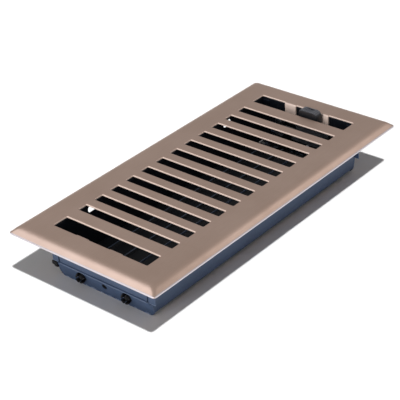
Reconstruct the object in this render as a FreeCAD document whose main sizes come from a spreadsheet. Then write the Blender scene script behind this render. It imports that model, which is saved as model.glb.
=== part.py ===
"""Floor register with a damper box, for a 4 by 10 inch duct opening.

Frame: origin at the middle of the box's foot, +X along the plate towards the thumb knob,
+Y across the plate to the left, +Z up out of the floor. All lengths are millimetres.
"""
import FreeCAD, Part
import math
import os
import re
import Sketcher

doc = FreeCAD.newDocument("floor_register")
sheet = doc.addObject("Spreadsheet::Sheet", "Sizes")

# Driving dimensions: alias, value, what it is
SIZES = [
    ("border_end", 20.75, "faceplate beyond the box, each end along X"),
    ("border_side", 24.45, "faceplate beyond the box, each side along Y"),
    ("plate_sheet", 1.2, "faceplate sheet"),
    ("plate_corner", 2.6, "plan radius of the faceplate's corners"),
    ("lip_width", 0.8, "flat rim round the bevel"),
    ("lip_round", 0.4, "rounding of the rim's outer edge"),
    ("field_rise", 4.3, "top of the rim to the top of the field"),
    ("bevel_angle", 42.0, "slope of the bevel, degrees"),
    ("crown_radius", 7.0, "rounding from the bevel to the field"),
    ("crown_inner", 1.2, "chamfer under the crown"),
    ("drop", 39.2, "rim's underside to the box's foot"),
    ("slot_count", 12, "narrow slots"),
    ("end_bar", 11.89, "bar between a wide slot and the narrow slot beside it"),
    ("slot_width", 8.5, "narrow slot, along X"),
    ("wide_slot", 14.0, "first and last slot, along X"),
    ("slot_corner", 1.0, "plan radius of a slot's corners"),
    ("slot_roll", 0.5, "rolled-over top edge of a slot"),
    ("slot_margin", 0.1, "slot end to the inner face of the wall beside it"),
    ("tab_width", 11.0, "bent tab, along Y"),
    ("tab_spacing", 33.0, "middle of one tab to the other"),
    ("tab_drop", 12.5, "field's top to the tab's foot"),
    ("tab_bend", 0.6, "inner bend radius of a tab"),
    ("tab_foot", 2.4, "tab's foot beyond its own face"),
    ("box_length", 250.6, "box, along X"),
    ("box_width", 94.0, "box, along Y"),
    ("wall_sheet", 0.9, "sheet of the box walls"),
    ("wall_flange", 9.0, "flange under the faceplate"),
    ("wall_bend", 1.2, "outer bend radius of the walls"),
    ("side_foot", 3.8, "foot of the side walls above the foot of the end walls"),
    ("side_hem", 2.4, "folded bottom edge of a side wall"),
    ("corner_flange", 7.0, "side wall's flange inside an end wall"),
    ("end_bend_height", 12.6, "bend of an end wall above its foot"),
    ("end_slope_in", 2.8, "how far the sloped panel runs in"),
    ("end_lip", 2.0, "upright lip at the foot of an end wall"),
    ("end_corner", 5.0, "radius of an end wall's lower corners"),
    ("bead_radius", 0.8, "bead across an end wall"),
    ("ear_reach", 3.8, "ear beyond the side wall"),
    ("ear_slit", 1.1, "slit between ear and band"),
    ("ear_slit_height", 5.5, "height of that slit"),
    ("slit_inset", 3.0, "middle of that slit to the side wall's outer face"),
    ("window_spacing", 160.0, "notch to notch in a side wall"),
    ("window_shift", 4.0, "middle of the two notches to the middle of the wall"),
    ("window_width", 10.0, "notch, along X"),
    ("window_height", 5.8, "notch, along Z"),
    ("window_top", 2.0, "notch to the faceplate's underside"),
    ("spare_hole", 2.2, "radius of the spare hole in an end wall"),
    ("spare_hole_height", 8.0, "spare hole above the foot"),
    ("axis_height", 7.7, "blade axes above the foot"),
    ("blade_gap", 1.0, "gap between the closed blades"),
    ("blade_side_gap", 0.5, "blade to the hem of the side wall"),
    ("blade_sheet", 0.8, "sheet of the blades"),
    ("blade_hem", 2.4, "turned edge of a blade"),
    ("bead_offset", 8.6, "blade bead to the blade's axis"),
    ("bead_height", 1.6, "height of a blade bead"),
    ("bead_width", 4.0, "width of a blade bead"),
    ("cap_width", 12.6, "moulded cap on a blade end"),
    ("cap_height", 7.2, "thickness of that cap"),
    ("cap_cover", 9.0, "how far the cap covers the blade"),
    ("cap_end", 8.0, "solid end of the cap beyond the blade"),
    ("cap_boss", 3.6, "radius of the boss round the pin"),
    ("end_play", 0.6, "boss to the bush's collar"),
    ("cap_fit", 0.05, "cap's slot over the blade, each side"),
    ("cap_edge", 0.8, "chamfer on the cap's long edges"),
    ("rivet_radius", 1.2, "rivets through cap and blade"),
    ("rivet_spacing", 8.0, "rivet to rivet across the blade"),
    ("rivet_head", 2.2, "radius of a rivet's head"),
    ("rivet_head_height", 0.8, "height of a rivet's head"),
    ("pin_radius", 2.0, "pivot pin"),
    ("pin_seat", 7.5, "pin's length inside the cap"),
    ("pin_short", 2.6, "pin short of the bush's tips"),
    ("bush_play", 0.08, "running clearance of the pin in its bush"),
    ("bush_barrel", 3.9, "radius of a bush's barrel"),
    ("bush_play_hole", 0.1, "bush's barrel in the end wall's hole"),
    ("bush_collar", 5.4, "radius of a bush's collar"),
    ("bush_collar_thick", 1.4, "thickness of that collar"),
    ("bush_barb", 4.4, "radius of the barbs"),
    ("bush_reach", 1.6, "barbs' tips beyond the end wall's upper face"),
    ("bush_cut", 2.0, "cross cut between the prongs"),
    ("bush_bore_gap", 0.1, "collar to the lip of the end wall"),
    ("swing", 76.0, "blade's travel from closed to open, degrees"),
    ("crank_radius", 13.0, "blade axis to crank pin"),
    ("crank_arm", 1.8, "thickness of the crank arm"),
    ("crank_arm_width", 6.4, "width of the crank arm"),
    ("crank_pin", 1.6, "radius of the crank pin"),
    ("crank_chamfer", 0.4, "chamfer on a crank pin's tip"),
    ("fork_play", 0.35, "crank pin in its fork, each side"),
    ("slide_sheet", 1.2, "sheet of the control slide"),
    ("slide_end", 2.5, "slide beyond the end of its guide slot"),
    ("slide_foot", 15.5, "slide's lower edge above the foot"),
    ("slide_height", 19.0, "height of the slide's bar"),
    ("slide_gap", 0.6, "crank arm to slide"),
    ("slide_corner", 2.0, "rounding of the slide's corners"),
    ("stem_width", 12.0, "stem of the slide"),
    ("stud_height", 28.4, "guide studs above the foot"),
    ("slide_side_gap", 1.6, "slide to the side wall at the end of its travel"),
    ("stud_radius", 1.75, "neck of a guide stud"),
    ("stud_shoulder", 3.4, "radius of a stud's shoulder"),
    ("stud_head", 3.0, "radius of a stud's riveted head"),
    ("stud_head_height", 0.8, "height of that head"),
    ("stud_play", 0.25, "stud in the slide's slot, each side"),
    ("spring_free", 0.5, "wave washer between shoulder and slide"),
    ("stud_cap", 3.2, "radius of a stud's push-on cap"),
    ("stud_cap_thick", 0.7, "thickness of that cap"),
    ("knob_width", 18.6, "knob, along Y"),
    ("knob_depth", 8.0, "knob, along X"),
    ("knob_proud", 4.2, "knob above the field"),
    ("knob_skirt", 6.0, "knob below the field"),
    ("knob_end", 4.4, "radius of the knob's ends"),
    ("knob_round", 1.3, "rounding of the knob's edges"),
    ("knob_dish", 10.0, "radius of the dish in the knob's top"),
    ("knob_dish_depth", 1.1, "depth of that dish"),
    ("grip_length", 9.0, "duct grip, along X"),
    ("grip_height", 4.2, "duct grip, along Z"),
    ("grip_proud", 5.0, "duct grip beyond the side wall"),
    ("grip_drop", 0.4, "duct grip below the ear"),
    ("grip_peg", 1.4, "radius of the grip's peg"),
    ("tab_play", 0.3, "window in an end wall round a tab's foot"),
    ("wall_gap", 0.05, "side wall to end wall"),
    ("rivet_play", 0.02, "rivets, pins and caps in their holes, each side"),
    ("bush_tip", 3.4, "radius of the prongs' tips"),
    ("crank_proud", 0.8, "crank pin beyond the slide"),
    ("fork_head", 0.6, "room over the crank pin in its fork"),
    ("knob_rim", 1.9, "rim beside the knob's dish"),
    ("knob_soft", 0.4, "rounding of that rim"),
    ("stem_reach", 1.0, "top of the stem below the field"),
    ("stud_shank", 1.82, "stud in the end wall"),
    ("stud_neck", 1.2, "neck beyond the slide"),
    ("spring_play", 0.04, "spring washer to shoulder and slide"),
    ("spring_sheet", 0.3, "sheet of the spring washer"),
    ("spring_bore", 0.12, "spring washer round the neck"),
    ("grip_inset", 5.0, "middle of a grip to the end wall's inner face"),
    ("grip_tooth", 1.6, "height of the grip's outer edge"),
    ("grip_edge", 0.4, "chamfer on the grip's edges"),
]

for row, (alias, number, note) in enumerate(SIZES, start=1):
    sheet.set("A%d" % row, alias)
    sheet.set("B%d" % row, str(number))
    sheet.set("C%d" % row, note)
    sheet.setAlias("B%d" % row, alias)
doc.recompute()


NAMES = {alias for alias, _, _ in SIZES}

# Planes, lines and faces that several pieces share, as expressions on the sheet's cells
LIP_TOP = "(drop + plate_sheet)"
UNDER = "(drop + field_rise)"
TOP = "(drop + field_rise + plate_sheet)"
BEVEL_SHIFT = "(plate_sheet * tan(bevel_angle * 0.5deg))"
PLATE_X = "(box_length / 2 + border_end)"
PLATE_Y = "(box_width / 2 + border_side)"
END_OUT = "(box_length / 2)"
END_IN = "(box_length / 2 - wall_sheet)"
SIDE_OUT = "(box_width / 2)"
SIDE_IN = "(box_width / 2 - wall_sheet)"
WIDE_EDGE = "(box_length / 2 - wall_sheet - slot_margin)"
SLOT_HALF = "(box_width / 2 - wall_sheet - slot_margin)"
SLOPE = "(end_slope_in / (end_bend_height - end_lip))"
SLOPE_SHIFT = "(wall_sheet * (sqrt(1 + %s * %s) - 1) / %s)" % (SLOPE, SLOPE, SLOPE)
LIP_IN = "(box_length / 2 - end_slope_in - wall_sheet)"
SLOT_PITCH = "(2 * (%s - wide_slot - end_bar - slot_width / 2) / (slot_count - 1))" % WIDE_EDGE
EAR_FOOT = "(end_bend_height + 0.2)"
EAR_HALF = "(box_width / 2 + ear_reach)"
AXIS_Y = "((%s - wall_sheet - blade_side_gap + blade_gap / 2) / 2)" % SIDE_IN
BLADE_HALF = "(%s - blade_gap / 2)" % AXIS_Y
SLIDE_IN = "(%s - wide_slot / 2 - slide_sheet / 2)" % WIDE_EDGE
SLIDE_OUT = "(%s + slide_sheet)" % SLIDE_IN
CAP_FACE = "(%s - slide_gap)" % SLIDE_IN
BLADE_END = "(%s - cap_end)" % CAP_FACE
BOSS_END = "(%s - bush_bore_gap - bush_collar_thick - end_play)" % LIP_IN
TRAVEL = "(2 * crank_radius * sin(swing * 0.5deg))"
STUD_Y = "(%s - slide_side_gap - slide_end - stud_radius - stud_play - %s)" % (SIDE_IN, TRAVEL)
TAB_FOOT_Z = "(drop + field_rise + plate_sheet - tab_drop)"
BUSH_TIP = "(box_length / 2 + bush_reach)"
PANEL_AT_AXIS = "(box_length / 2 - (end_bend_height - axis_height) * %s)" % SLOPE
RIVET_X = "(%s - cap_cover / 2)" % BLADE_END
CRANK_PIN = ("(-crank_radius * sin(swing * 0.5deg))", "(crank_radius * cos(swing * 0.5deg))")
STEM_TOP = "(drop + field_rise + plate_sheet - stem_reach)"
GRIP_X = "(box_length / 2 - wall_sheet - grip_inset)"
GRIP_Z = "(%s - grip_drop - grip_height / 2)" % EAR_FOOT
BARB_START = "(box_length / 2 - (end_bend_height - axis_height - bush_barb) * %s + bush_play_hole)" % SLOPE


def cells(text):
    """Expression in which every size is written as its cell in the sheet."""
    return re.sub(r"[a-z_]+", lambda word: "Sizes." + word[0] if word[0] in NAMES else word[0], text)


def value(text):
    """Number that an expression gives."""
    number = sheet.evalExpression(cells(text))
    return float(getattr(number, "Value", number))


def new_body(label, x="0", y="0", z="0", turn=0):
    """PartDesign body, placed by expressions and turned about Z."""
    body = doc.addObject("PartDesign::Body", label)
    body.Label = label
    about_z = FreeCAD.Rotation(FreeCAD.Vector(0, 0, 1), turn)
    body.Placement = FreeCAD.Placement(FreeCAD.Vector(0, 0, 0), about_z)
    for axis, text in zip("xyz", (x, y, z)):
        if text != "0":
            body.setExpression("Placement.Base." + axis, cells(text))
    return body


def new_sketch(body, plane, offset="0"):
    """Sketch on one of the body's own planes, moved along the plane's normal."""
    sketch = body.newObject("Sketcher::SketchObject", body.Label + "_sketch")
    support = next(item for item in body.Origin.OriginFeatures if item.Role == plane + "_Plane")
    sketch.AttachmentSupport = [(support, "")]
    sketch.MapMode = "FlatFace"
    if offset != "0":
        sketch.setExpression("AttachmentOffset.Base.z", cells(offset))
    return sketch


def fix(sketch, item, end, x, y=None):
    """Tie a point of the sketch to the origin by expressions."""
    for kind, text in (("DistanceX", x), ("DistanceY", y)):
        if text is not None:
            index = sketch.addConstraint(Sketcher.Constraint(kind, -1, 1, item, end, value(text)))
            sketch.setExpression("Constraints[%d]" % index, cells(text))


def outline(sketch, corners, arcs=None):
    """Closed outline through corners; arcs maps a side's number to its centre and turn."""
    arcs = arcs or {}
    first = sketch.GeometryCount
    spots = [FreeCAD.Vector(value(x), value(y), 0) for x, y in corners]
    count = len(spots)
    for side in range(count):
        start, end = spots[side], spots[(side + 1) % count]
        if side not in arcs:
            sketch.addGeometry(Part.LineSegment(start, end), False)
            continue
        centre = FreeCAD.Vector(value(arcs[side][0]), value(arcs[side][1]), 0)
        ray, last = start - centre, end - centre
        a, b = math.atan2(ray.y, ray.x), math.atan2(last.y, last.x)
        if arcs[side][2] < 0:
            a, b = b, a
        if b < a:
            b += 2 * math.pi
        circle = Part.Circle(centre, FreeCAD.Vector(0, 0, 1), ray.Length)
        sketch.addGeometry(Part.ArcOfCircle(circle, a, b), False)

    def ends(side):
        return (2, 1) if side in arcs and arcs[side][2] < 0 else (1, 2)

    for side in range(count):
        after = (side + 1) % count
        sketch.addConstraint(Sketcher.Constraint(
            "Coincident", first + side, ends(side)[1], first + after, ends(after)[0]))
    for side in range(count):
        fix(sketch, first + side, ends(side)[0], *corners[side])
        if side in arcs:
            fix(sketch, first + side, 3, arcs[side][0])


def box_outline(sketch, x0, x1, y0, y1):
    """Rectangle from x0 to x1 and y0 to y1."""
    outline(sketch, [(x0, y0), (x1, y0), (x1, y1), (x0, y1)])


def circle(sketch, x, y, radius):
    """Circle tied to the origin."""
    item = sketch.addGeometry(
        Part.Circle(FreeCAD.Vector(value(x), value(y), 0), FreeCAD.Vector(0, 0, 1), value(radius)), False)
    fix(sketch, item, 3, x, y)
    index = sketch.addConstraint(Sketcher.Constraint("Radius", item, value(radius)))
    sketch.setExpression("Constraints[%d]" % index, cells(radius))


def obround(sketch, x, y, half, radius):
    """Slot with round ends, its middle at x, y, its end centres half away along x."""
    left, right = "(%s - %s)" % (x, half), "(%s + %s)" % (x, half)
    low, high = "(%s - %s)" % (y, radius), "(%s + %s)" % (y, radius)
    outline(sketch, [(left, low), (right, low), (right, high), (left, high)],
            {1: (right, y, 1), 3: (left, y, 1)})


def feature(body, kind, sketch, length=None, both=False, back=False):
    """Pad or pocket of a sketch; both spreads it evenly about the sketch's plane."""
    item = body.newObject("PartDesign::" + kind, body.Label + "_" + kind.lower())
    item.Profile = sketch
    item.SideType = "Symmetric" if both else "One side"
    item.Reversed = back
    item.setExpression("Length", cells(length))
    doc.recompute()
    return item


def revolve(body, sketch):
    """Full turn of a sketch about the body's X axis."""
    item = body.newObject("PartDesign::Revolution", body.Label + "_revolution")
    item.Profile = sketch
    item.ReferenceAxis = (next(a for a in body.Origin.OriginFeatures if a.Role == "X_Axis"), [""])
    item.Angle = 360
    doc.recompute()
    return item


def edges_where(shape, test):
    """Names of the edges whose box and direction pass a test."""
    return ["Edge%d" % (i + 1) for i, edge in enumerate(shape.Edges) if test(edge)]


def near(a, b):
    """True for two lengths that are the same to a hundredth."""
    return abs(a - b) < 0.01


def along(edge, axis):
    """True for a straight edge along an axis."""
    if not isinstance(edge.Curve, Part.Line):
        return False
    return near(abs(getattr(edge.Curve.Direction, axis)), 1)


def dress(body, kind, test, size):
    """Fillet or chamfer on the edges of the body's tip that pass a test."""
    base = body.Tip
    names = edges_where(base.Shape, test)
    item = body.newObject("PartDesign::" + kind, body.Label + "_" + kind.lower())
    item.Base = (base, names)
    item.setExpression("Radius" if kind == "Fillet" else "Size", cells(size))
    doc.recompute()
    return item


def line_at(axis, **place):
    """Test for a straight edge along an axis, at places such as x=value."""
    def test(edge):
        spot = edge.BoundBox.Center
        return along(edge, axis) and all(near(abs(getattr(spot, k)), abs(v)) for k, v in place.items())
    return test


def bevel_section(body, height, inset):
    """Section of the bevel at a height, set in from the faceplate's edge."""
    sketch = new_sketch(body, "XY", height)
    x, y = "(%s - %s)" % (PLATE_X, inset), "(%s - %s)" % (PLATE_Y, inset)
    box_outline(sketch, "-" + x, x, "-" + y, y)
    return sketch


def make_faceplate():
    """One steel stamping: bevelled border, slots with rolled edges, and four bent tabs."""
    body = new_body("faceplate")
    low, high = value(LIP_TOP), value(TOP)
    bevel = feature(body, "Pad", bevel_section(body, LIP_TOP, "lip_width"), "field_rise")
    bevel.setExpression("TaperAngle", cells("bevel_angle - 90"))
    doc.recompute()
    dress(body, "Fillet", lambda e: near(e.BoundBox.ZMin, high), "crown_radius")
    feature(body, "Pad", bevel_section(body, "drop", "0"), "plate_sheet")
    dress(body, "Fillet", lambda e: along(e, "z"), "plate_corner")
    rim_x, rim_y = value(PLATE_X) - 0.1, value(PLATE_Y) - 0.1
    dress(body, "Fillet", lambda e: near(e.BoundBox.ZMin, low) and near(e.BoundBox.ZMax, low)
          and (e.BoundBox.XMax > rim_x or e.BoundBox.XMin < -rim_x
               or e.BoundBox.YMax > rim_y or e.BoundBox.YMin < -rim_y), "lip_round")
    inside = bevel_section(body, "drop", "(lip_width + %s)" % BEVEL_SHIFT)
    hollow = feature(body, "Pocket", inside, "field_rise", back=True)
    hollow.setExpression("TaperAngle", cells("bevel_angle - 90"))
    doc.recompute()
    under = value(UNDER)
    dress(body, "Chamfer", lambda e: near(e.BoundBox.ZMin, under) and near(e.BoundBox.ZMax, under),
          "crown_inner")

    slots = new_sketch(body, "XY", TOP)
    reach = "((slot_count - 1) * " + SLOT_PITCH + " / 2)"
    box_outline(slots, "-%s - slot_width / 2" % reach, "-%s + slot_width / 2" % reach,
                "-" + SLOT_HALF, SLOT_HALF)
    cut = feature(body, "Pocket", slots, "field_rise")
    row = body.newObject("PartDesign::LinearPattern", "faceplate_row")
    row.Originals = [cut]
    row.Direction = (slots, ["H_Axis"])
    row.setExpression("Length", cells("(slot_count - 1) * " + SLOT_PITCH))
    row.setExpression("Occurrences", cells("slot_count"))
    body.Tip = row
    doc.recompute()
    wide = new_sketch(body, "XY", TOP)
    for sign in ("", "-"):
        box_outline(wide, sign + "(" + WIDE_EDGE + " - wide_slot)", sign + WIDE_EDGE,
                    "-" + SLOT_HALF, SLOT_HALF)
    feature(body, "Pocket", wide, "field_rise")
    half = value(SLOT_HALF)
    dress(body, "Fillet", lambda e: along(e, "z") and near(abs(e.BoundBox.Center.y), half), "slot_corner")
    edge_x, edge_y = value(WIDE_EDGE), value(SLOT_HALF)
    dress(body, "Chamfer", lambda e: near(e.BoundBox.ZMin, high) and near(e.BoundBox.ZMax, high)
          and e.BoundBox.XMax < edge_x + 0.01 and e.BoundBox.XMin > -edge_x - 0.01
          and e.BoundBox.YMax < edge_y + 0.01 and e.BoundBox.YMin > -edge_y - 0.01, "slot_roll")

    relief = new_sketch(body, "XY", TOP)
    root = "(" + WIDE_EDGE + " + tab_bend)"
    for side in ("", "-"):
        for end in ("", "-"):
            middle = "(%stab_spacing / 2)" % side
            box_outline(relief, end + "(" + WIDE_EDGE + " - slot_roll)", end + root,
                        middle + " - tab_width / 2", middle + " + tab_width / 2")
    feature(body, "Pocket", relief, "field_rise")
    face = "(" + WIDE_EDGE + " - plate_sheet)"
    foot_end = "(" + WIDE_EDGE + " + tab_foot)"
    foot_top = "(" + TAB_FOOT_Z + " + plate_sheet)"
    bend_top, bend_foot = "(" + UNDER + " - tab_bend)", "(" + foot_top + " + tab_bend)"
    for end, turn in (("", 1), ("-", -1)):
        for side in ("", "-"):
            profile = new_sketch(body, "XZ", side + "tab_spacing / 2")
            outline(profile, [(end + x, z) for x, z in (
                (root, TOP), (face, bend_top), (face, bend_foot), (root, TAB_FOOT_Z),
                (foot_end, TAB_FOOT_Z), (foot_end, foot_top), (root, foot_top), (WIDE_EDGE, bend_foot),
                (WIDE_EDGE, bend_top), (root, UNDER))],
                {0: (end + root, bend_top, turn), 2: (end + root, bend_foot, turn),
                 6: (end + root, bend_foot, -turn), 8: (end + root, bend_top, -turn)})
            feature(body, "Pad", profile, "tab_width", both=True)
    return body


def make_end_wall(label, turn):
    """Folded end wall: flange, band with ears, bead, sloped panel and lip, with its holes."""
    body = new_body(label, turn=turn)
    profile = new_sketch(body, "XZ")
    outline(profile, [
        (END_OUT + " + wall_flange", UNDER), (END_IN, UNDER),
        (END_IN, "end_bend_height + " + SLOPE_SHIFT), (LIP_IN, "end_lip + " + SLOPE_SHIFT), (LIP_IN, "0"),
        (LIP_IN + " + wall_sheet", "0"), (LIP_IN + " + wall_sheet", "end_lip"), (END_OUT, "end_bend_height"),
        (END_OUT, UNDER + " - wall_sheet"), (END_OUT + " + wall_flange", UNDER + " - wall_sheet")])
    feature(body, "Pad", profile, "box_width + 2 * ear_reach", both=True)
    inner, outer, top = value(END_IN), value(END_OUT), value(UNDER)
    dress(body, "Fillet", line_at("y", x=inner, z=top), "wall_bend")
    dress(body, "Fillet", line_at("y", x=outer, z=top - value("wall_sheet")), "wall_bend - wall_sheet")
    bead = new_sketch(body, "XZ")
    circle(bead, END_OUT, "end_bend_height + bead_radius / 2", "bead_radius")
    feature(body, "Pad", bead, "box_width - 4 * ear_slit", both=True)

    trim = new_sketch(body, "YZ")
    past = "(" + EAR_HALF + " + 1)"
    slit_in = "(" + SIDE_OUT + " - slit_inset - ear_slit / 2)"
    slit_out = "(" + SIDE_OUT + " - slit_inset + ear_slit / 2)"
    slit_top, panel_top = EAR_FOOT + " + ear_slit_height", EAR_FOOT + " - 0.8 * ear_slit"
    corner_y = "(" + SIDE_OUT + " - end_corner)"
    for side, turn in (("", -1), ("-", 1)):
        outline(trim, [(side + past, "-1"), (side + past, EAR_FOOT), (side + slit_out, EAR_FOOT),
                       (side + slit_out, slit_top), (side + slit_in, slit_top), (side + slit_in, panel_top),
                       (side + SIDE_OUT, panel_top), (side + SIDE_OUT, "end_corner"), (side + corner_y, "0"),
                       (side + corner_y, "-1")], {7: (side + corner_y, "end_corner", turn)})
        box_outline(trim, side + SIDE_OUT, side + past, UNDER + " - 2 * wall_bend", TOP)
    feature(body, "Pocket", trim, "2 * box_length", both=True)

    holes = new_sketch(body, "YZ")
    circle(holes, "0", "spare_hole_height", "spare_hole")
    for side in ("", "-"):
        circle(holes, side + AXIS_Y, "axis_height", "(bush_barrel + bush_play_hole)")
        circle(holes, side + STUD_Y, "stud_height", "(stud_radius + 0.1)")
        box_outline(holes, side + "(tab_spacing / 2 - tab_width / 2 - tab_play)",
                    side + "(tab_spacing / 2 + tab_width / 2 + tab_play)",
                    TAB_FOOT_Z + " - tab_play", TAB_FOOT_Z + " + plate_sheet + tab_play")
    feature(body, "Pocket", holes, "2 * box_length", both=True)
    return body


def make_side_wall(label, turn, grips):
    """Folded side wall: flange, wall with notches, hemmed foot, and a flange inside each end wall."""
    body = new_body(label, turn=turn)
    far = "(%s - wall_gap)" % END_IN
    bend = "(end_bend_height + %s)" % SLOPE_SHIFT
    foot = "(%s - (%s - side_foot) * %s)" % (far, bend, SLOPE)
    wall = new_sketch(body, "XZ", "-" + SIDE_OUT)
    edge = [(far, UNDER), (far, bend), (foot, "side_foot")]
    outline(wall, edge + [("-" + x, z) for x, z in reversed(edge)])
    feature(body, "Pad", wall, "wall_sheet")
    flange = new_sketch(body, "XY", UNDER)
    box_outline(flange, "-" + far, far, SIDE_IN, SIDE_OUT + " + wall_flange")
    feature(body, "Pad", flange, "wall_sheet", back=True)
    inner, outer, top = value(SIDE_IN), value(SIDE_OUT), value(UNDER)
    dress(body, "Fillet", line_at("x", y=inner, z=top), "wall_bend")
    dress(body, "Fillet", line_at("x", y=outer, z=top - value("wall_sheet")), "wall_bend - wall_sheet")
    hem = new_sketch(body, "XZ", "-" + SIDE_IN)
    box_outline(hem, "-" + foot, foot, "side_foot", "side_foot + side_hem")
    feature(body, "Pad", hem, "wall_sheet")
    ends = new_sketch(body, "XZ", "-" + SIDE_IN)
    top_end = "(" + UNDER + " - 2 * wall_bend)"
    for side in ("", "-"):
        outline(ends, [(side + x, z) for x, z in (
            (far, top_end), (far, bend), (foot, "side_foot"), ("(" + foot + " - wall_sheet)", "side_foot"),
            ("(" + far + " - wall_sheet)", bend), ("(" + far + " - wall_sheet)", top_end))])
    feature(body, "Pad", ends, "corner_flange")
    cuts = new_sketch(body, "XZ", "-" + SIDE_OUT)
    for side in ("", "-"):
        middle = "(" + side + "window_spacing / 2 - window_shift)"
        obround(cuts, middle, "(%s - window_top - window_height / 2)" % UNDER,
                "(window_width / 2 - window_height / 2)", "(window_height / 2)")
        if grips:
            circle(cuts, side + GRIP_X, GRIP_Z, "(grip_peg + 0.05)")
    feature(body, "Pocket", cuts, "4 * wall_sheet", both=True)
    return body


def make_grip(label, turn, side):
    """Wedge that bites into the duct, with a peg through the side wall."""
    body = new_body(label, x=side + GRIP_X, y=SIDE_OUT, z=GRIP_Z)
    wedge = new_sketch(body, "YZ")
    outline(wedge, [("0", "-grip_height / 2"), ("grip_proud / 2", "-grip_height / 2"),
                    ("grip_proud", "grip_height / 2 - grip_tooth"), ("grip_proud", "grip_height / 2"),
                    ("0", "grip_height / 2")])
    feature(body, "Pad", wedge, "grip_length", both=True)
    dress(body, "Chamfer", lambda e: not near(e.BoundBox.YMin, 0), "grip_edge")
    peg = new_sketch(body, "XZ")
    circle(peg, "0", "0", "grip_peg")
    feature(body, "Pad", peg, "wall_sheet + 1.2")
    return body


def make_blade(label, side):
    """Damper blade: one strip with turned edges and two lengthwise beads."""
    body = new_body(label, y=side + AXIS_Y, z="axis_height")
    section = new_sketch(body, "YZ")
    top, low, hem = "(blade_sheet / 2)", "(-blade_sheet / 2)", "(-blade_sheet / 2 - blade_hem)"
    upper, under = [], []
    for sign in ("-", ""):
        middle = "(%sbead_offset)" % sign
        rise = [("(%s - bead_width / 2)" % middle, "0"), ("(%s - bead_width / 4)" % middle, "bead_height"),
                ("(%s + bead_width / 4)" % middle, "bead_height"), ("(%s + bead_width / 2)" % middle, "0")]
        upper += [(y, top + " + " + z) for y, z in rise]
        shift = ("+", "+", "-", "-")
        under += [("(%s %s blade_sheet / 3)" % (y, s), low + " + " + z) for (y, z), s in zip(rise, shift)]
    inside = "(" + BLADE_HALF + " - blade_sheet)"
    outline(section, [("-" + BLADE_HALF, hem), ("-" + BLADE_HALF, top)] + upper
            + [(BLADE_HALF, top), (BLADE_HALF, hem), (inside, hem), (inside, low)] + under[::-1]
            + [("-" + inside, low), ("-" + inside, hem)])
    feature(body, "Pad", section, "2 * " + BLADE_END, both=True)
    edge, height = value(BLADE_HALF), value("blade_sheet / 2")
    dress(body, "Fillet", line_at("x", y=edge, z=height), "blade_sheet * 1.5")
    holes = new_sketch(body, "XY")
    for end in ("", "-"):
        for row in ("", "-"):
            circle(holes, end + RIVET_X, row + "rivet_spacing / 2", "(rivet_radius + rivet_play)")
    feature(body, "Pocket", holes, "4 * blade_sheet", both=True)
    return body


def make_cap(label, turn, side, crank):
    """Moulded cap on a blade end, with the pin's bore, and a crank on the far end's caps."""
    body = new_body(label, y=side + AXIS_Y, z="axis_height", turn=turn)
    block = new_sketch(body, "YZ", "(" + BLADE_END + " - cap_cover)")
    box_outline(block, "-cap_width / 2", "cap_width / 2", "-cap_height / 2", "cap_height / 2")
    feature(body, "Pad", block, "cap_cover + cap_end")
    dress(body, "Chamfer", lambda e: along(e, "x"), "cap_edge")
    slot = new_sketch(body, "XZ")
    box_outline(slot, BLADE_END + " - cap_cover - 1", BLADE_END + " + cap_fit",
                "-blade_sheet / 2 - cap_fit", "blade_sheet / 2 + cap_fit")
    feature(body, "Pocket", slot, "2 * cap_width", both=True)
    holes = new_sketch(body, "XY")
    for row in ("", "-"):
        circle(holes, RIVET_X, row + "rivet_spacing / 2", "(rivet_radius + rivet_play)")
    feature(body, "Pocket", holes, "2 * cap_height", both=True)
    boss = new_sketch(body, "YZ", CAP_FACE)
    circle(boss, "0", "0", "cap_boss")
    feature(body, "Pad", boss, BOSS_END + " - " + CAP_FACE)
    if crank:
        arm = new_sketch(body, "YZ", "(" + CAP_FACE + " - crank_arm)")
        across = ("(crank_arm_width / 2 * cos(swing * 0.5deg))",
                  "(crank_arm_width / 2 * sin(swing * 0.5deg))")
        outline(arm, [across, tuple("(%s + %s)" % pair for pair in zip(CRANK_PIN, across)),
                      tuple("(%s - %s)" % pair for pair in zip(CRANK_PIN, across)),
                      tuple("(-%s)" % part for part in across)],
                {1: CRANK_PIN + (1,), 3: ("0", "0", 1)})
        feature(body, "Pad", arm, "crank_arm")
        pin = new_sketch(body, "YZ", CAP_FACE)
        circle(pin, *CRANK_PIN, "crank_pin")
        feature(body, "Pad", pin, "slide_gap + slide_sheet + crank_proud")
        end = value(CAP_FACE + " + slide_gap + slide_sheet + crank_proud")
        dress(body, "Chamfer", lambda e: near(e.BoundBox.XMin, end), "crank_chamfer")
    bore = new_sketch(body, "YZ", BOSS_END)
    circle(bore, "0", "0", "(pin_radius + rivet_play)")
    feature(body, "Pocket", bore, BOSS_END + " - " + CAP_FACE + " + pin_seat")
    return body


def make_pin(label, turn, side):
    """Steel pin that the blade turns on."""
    body = new_body(label, y=side + AXIS_Y, z="axis_height", turn=turn)
    start = "(" + CAP_FACE + " - pin_seat)"
    section = new_sketch(body, "YZ", start)
    circle(section, "0", "0", "pin_radius")
    feature(body, "Pad", section, BUSH_TIP + " - pin_short - " + start)
    return body


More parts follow.
